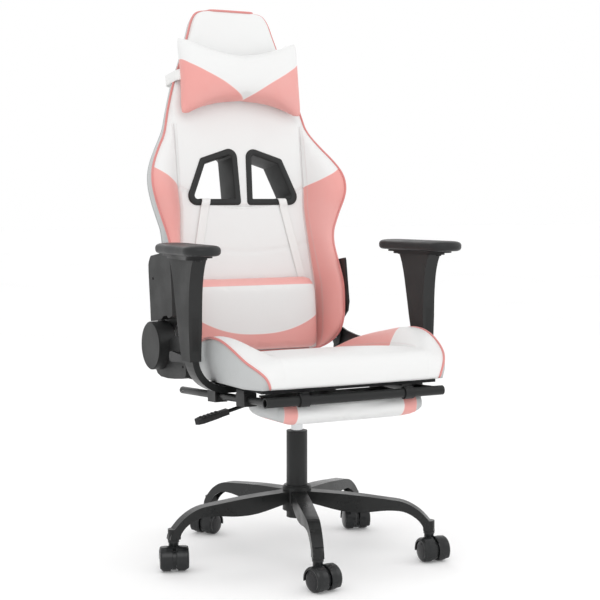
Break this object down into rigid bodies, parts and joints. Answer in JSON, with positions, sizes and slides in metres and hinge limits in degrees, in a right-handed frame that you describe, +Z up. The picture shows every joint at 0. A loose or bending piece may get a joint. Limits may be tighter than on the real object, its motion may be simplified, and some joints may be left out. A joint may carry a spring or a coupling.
{
  "type": "gaming chair",
  "caption": "Reclining gaming chair with white and pink padded cover, side-winged seat, lumbar and head pillows, fixed armrests, slide-out footrest and five-leg caster base.",
  "frame": {"origin": "on the floor, on the gas column's axis", "axes": "+Z up, the sitter faces -Y, the sitter's right is -X"},
  "size_m": [0.664, 0.7064, 1.217],
  "materials": {
    "steel_dark": "satin powder coat",
    "chrome": "polished",
    "steel_bright": "zinc-plated",
    "plastic_black": "fine grain",
    "plastic_grey": "fine grain",
    "pad_grey": "soft moulded polyurethane",
    "plywood": "raw",
    "cover_white": "polyurethane-coated fabric over foam",
    "cover_pink": "polyurethane-coated fabric over foam",
    "plastic_hood": "satin",
    "wheel_black": "gloss"
  },
  "bodies": {
    "base": {"base_hub": "steel_dark", "base_legs": "steel_dark", "caster_sockets": "plastic_black", "gas_outer_tube": "steel_dark", "gas_guide_bush": "plastic_black", "gas_thrust_bearing": "steel_bright"},
    "gas_rod": {"gas_piston_rod": "steel_bright", "gas_retaining_clip": "steel_bright"},
    "column": {"gas_cylinder": "chrome", "tilt_housing": "steel_dark", "tilt_pivot_pin": "steel_bright", "tension_spring": "steel_bright"},
    "valve": {"gas_valve_pin": "steel_bright"},
    "lift_lever": {"lift_lever_rod": "steel_dark", "lift_lever_paddle": "plastic_black"},
    "seat": {"mechanism_top_plate": "steel_dark", "tension_bolt": "steel_bright", "seat_pan": "plywood", "seat_cushion": "cover_white", "seat_wings": "cover_pink", "armrest_brackets": "steel_dark", "armrest_sleeves": "plastic_grey", "armrest_plates": "plastic_black", "armrest_pads": "pad_grey", "footrest_guides": "plastic_black", "seat_hinge_plates": "steel_dark", "hinge_covers_lower": "plastic_grey", "recline_disc_cover": "plastic_grey", "recline_pins": "steel_bright"},
    "knob": {"tension_knob": "plastic_black"},
    "recline_handle": {"recline_lever": "plastic_black"},
    "backrest": {"back_hinge_plates": "steel_dark", "hinge_covers_upper": "plastic_grey", "backrest_frame": "steel_dark", "backrest_cushion": "cover_white", "cutout_bezels": "plastic_black", "lumbar_straps": "cover_white"},
    "lumbar": {"lumbar_pillow": "cover_white"},
    "head": {"head_pillow": "cover_white", "head_strap": "cover_white"},
    "footrest": {"footrest_rails": "steel_dark", "footrest_cross_tube": "steel_dark"},
    "footrest_flap": {"footrest_pad_base": "plastic_black", "footrest_pad": "cover_white"},
    "caster_1": {"caster_1_housing": "plastic_hood"},
    "caster_1_wheel_a_body": {"caster_1_wheel_a": "wheel_black"},
    "caster_1_wheel_b_body": {"caster_1_wheel_b": "wheel_black"},
    "caster_2": {"caster_2_housing": "plastic_hood"},
    "caster_2_wheel_a_body": {"caster_2_wheel_a": "wheel_black"},
    "caster_2_wheel_b_body": {"caster_2_wheel_b": "wheel_black"},
    "caster_3": {"caster_3_housing": "plastic_hood"},
    "caster_3_wheel_a_body": {"caster_3_wheel_a": "wheel_black"},
    "caster_3_wheel_b_body": {"caster_3_wheel_b": "wheel_black"},
    "caster_4": {"caster_4_housing": "plastic_hood"},
    "caster_4_wheel_a_body": {"caster_4_wheel_a": "wheel_black"},
    "caster_4_wheel_b_body": {"caster_4_wheel_b": "wheel_black"},
    "caster_5": {"caster_5_housing": "plastic_hood"},
    "caster_5_wheel_a_body": {"caster_5_wheel_a": "wheel_black"},
    "caster_5_wheel_b_body": {"caster_5_wheel_b": "wheel_black"}
  },
  "joints": [
    {"name": "chair_swivel", "type": "hinge", "parent": "base", "child": "gas_rod", "pos_m": [0, 0, 0.1], "axis": [0, 0, 1], "continuous": true},
    {"name": "seat_height", "type": "slide", "parent": "gas_rod", "child": "column", "axis": [0, 0, 1], "range_m": [-0.055, 0.035]},
    {"name": "lift_lever_raise", "type": "hinge", "parent": "column", "child": "lift_lever", "pos_m": [-0.04, 0, 0.362], "axis": [0, 1, 0], "range_deg": [0, 6], "stiffness_Nm_per_rad": 2, "springref_deg": -11.46},
    {"name": "valve_press", "type": "slide", "parent": "column", "child": "valve", "axis": [0, 0, -1], "range_m": [0, 0.0045]},
    {"name": "seat_tilt", "type": "hinge", "parent": "column", "child": "seat", "pos_m": [0, -0.03, 0.372], "axis": [-1, 0, 0], "range_deg": [0, 12], "stiffness_Nm_per_rad": 130, "springref_deg": -22.92, "deforming": ["tension_spring"]},
    {"name": "tension_adjust", "type": "hinge", "parent": "seat", "child": "knob", "pos_m": [0, -0.068, 0.318], "axis": [0, 0, 1], "range_deg": [-360, 360]},
    {"name": "recline", "type": "hinge", "parent": "seat", "child": "backrest", "pos_m": [0, 0.2, 0.456], "axis": [-1, 0, 0], "range_deg": [0, 50]},
    {"name": "recline_handle_pull", "type": "hinge", "parent": "seat", "child": "recline_handle", "pos_m": [-0.25, 0.1, 0.442], "axis": [-1, 0, 0], "range_deg": [0, 25], "stiffness_Nm_per_rad": 0.5, "springref_deg": -17.19},
    {"name": "lumbar_slide", "type": "slide", "parent": "backrest", "child": "lumbar", "axis": [0, 0.1392, 0.9903], "range_m": [0, 0.15]},
    {"name": "head_slide", "type": "slide", "parent": "backrest", "child": "head", "axis": [0, 0.1392, 0.9903], "range_m": [0, 0.05]},
    {"name": "footrest_slide", "type": "slide", "parent": "seat", "child": "footrest", "axis": [0, -0.9984, 0.0565], "range_m": [0, 0.16]},
    {"name": "footrest_flip", "type": "hinge", "parent": "footrest", "child": "footrest_flap", "pos_m": [0, -0.256, 0.381], "axis": [-1, 0, 0], "range_deg": [0, 180]},
    {"name": "caster_1_swivel", "type": "hinge", "parent": "base", "child": "caster_1", "pos_m": [-0.29082, 0.01016, 0.07], "axis": [0, 0, 1], "continuous": true},
    {"name": "caster_1_roll_a", "type": "hinge", "parent": "caster_1", "child": "caster_1_wheel_a_body", "pos_m": [-0.29629, -0.00488, 0.025], "axis": [0.9397, -0.342, 0], "continuous": true},
    {"name": "caster_1_roll_b", "type": "hinge", "parent": "caster_1", "child": "caster_1_wheel_b_body", "pos_m": [-0.29629, -0.00488, 0.025], "axis": [0.9397, -0.342, 0], "continuous": true},
    {"name": "caster_2_swivel", "type": "hinge", "parent": "base", "child": "caster_2", "pos_m": [-0.09953, -0.27345, 0.07], "axis": [0, 0, 1], "continuous": true},
    {"name": "caster_2_roll_a", "type": "hinge", "parent": "caster_2", "child": "caster_2_wheel_a_body", "pos_m": [-0.09703, -0.28925, 0.025], "axis": [0.9877, 0.1564, 0], "continuous": true},
    {"name": "caster_2_roll_b", "type": "hinge", "parent": "caster_2", "child": "caster_2_wheel_b_body", "pos_m": [-0.09703, -0.28925, 0.025], "axis": [0.9877, 0.1564, 0], "continuous": true},
    {"name": "caster_3_swivel", "type": "hinge", "parent": "base", "child": "caster_3", "pos_m": [0.22931, -0.17916, 0.07], "axis": [0, 0, 1], "continuous": true},
    {"name": "caster_3_roll_a", "type": "hinge", "parent": "caster_3", "child": "caster_3_wheel_a_body", "pos_m": [0.22792, -0.1951, 0.025], "axis": [0.9962, -0.0872, 0], "continuous": true},
    {"name": "caster_3_roll_b", "type": "hinge", "parent": "caster_3", "child": "caster_3_wheel_b_body", "pos_m": [0.22792, -0.1951, 0.025], "axis": [0.9962, -0.0872, 0], "continuous": true},
    {"name": "caster_4_swivel", "type": "hinge", "parent": "base", "child": "caster_4", "pos_m": [0.24125, 0.16273, 0.07], "axis": [0, 0, 1], "continuous": true},
    {"name": "caster_4_roll_a", "type": "hinge", "parent": "caster_4", "child": "caster_4_wheel_a_body", "pos_m": [0.23711, 0.14727, 0.025], "axis": [0.9659, -0.2588, 0], "continuous": true},
    {"name": "caster_4_roll_b", "type": "hinge", "parent": "caster_4", "child": "caster_4_wheel_b_body", "pos_m": [0.23711, 0.14727, 0.025], "axis": [0.9659, -0.2588, 0], "continuous": true},
    {"name": "caster_5_swivel", "type": "hinge", "parent": "base", "child": "caster_5", "pos_m": [-0.08021, 0.27973, 0.07], "axis": [0, 0, 1], "continuous": true},
    {"name": "caster_5_roll_a", "type": "hinge", "parent": "caster_5", "child": "caster_5_wheel_a_body", "pos_m": [-0.09407, 0.27173, 0.025], "axis": [0.5, -0.866, 0], "continuous": true},
    {"name": "caster_5_roll_b", "type": "hinge", "parent": "caster_5", "child": "caster_5_wheel_b_body", "pos_m": [-0.09407, 0.27173, 0.025], "axis": [0.5, -0.866, 0], "continuous": true}
  ],
  "couplings": [
    {"joint": "valve_press", "follows": "lift_lever_raise", "m_per_rad": 0.042}
  ]
}
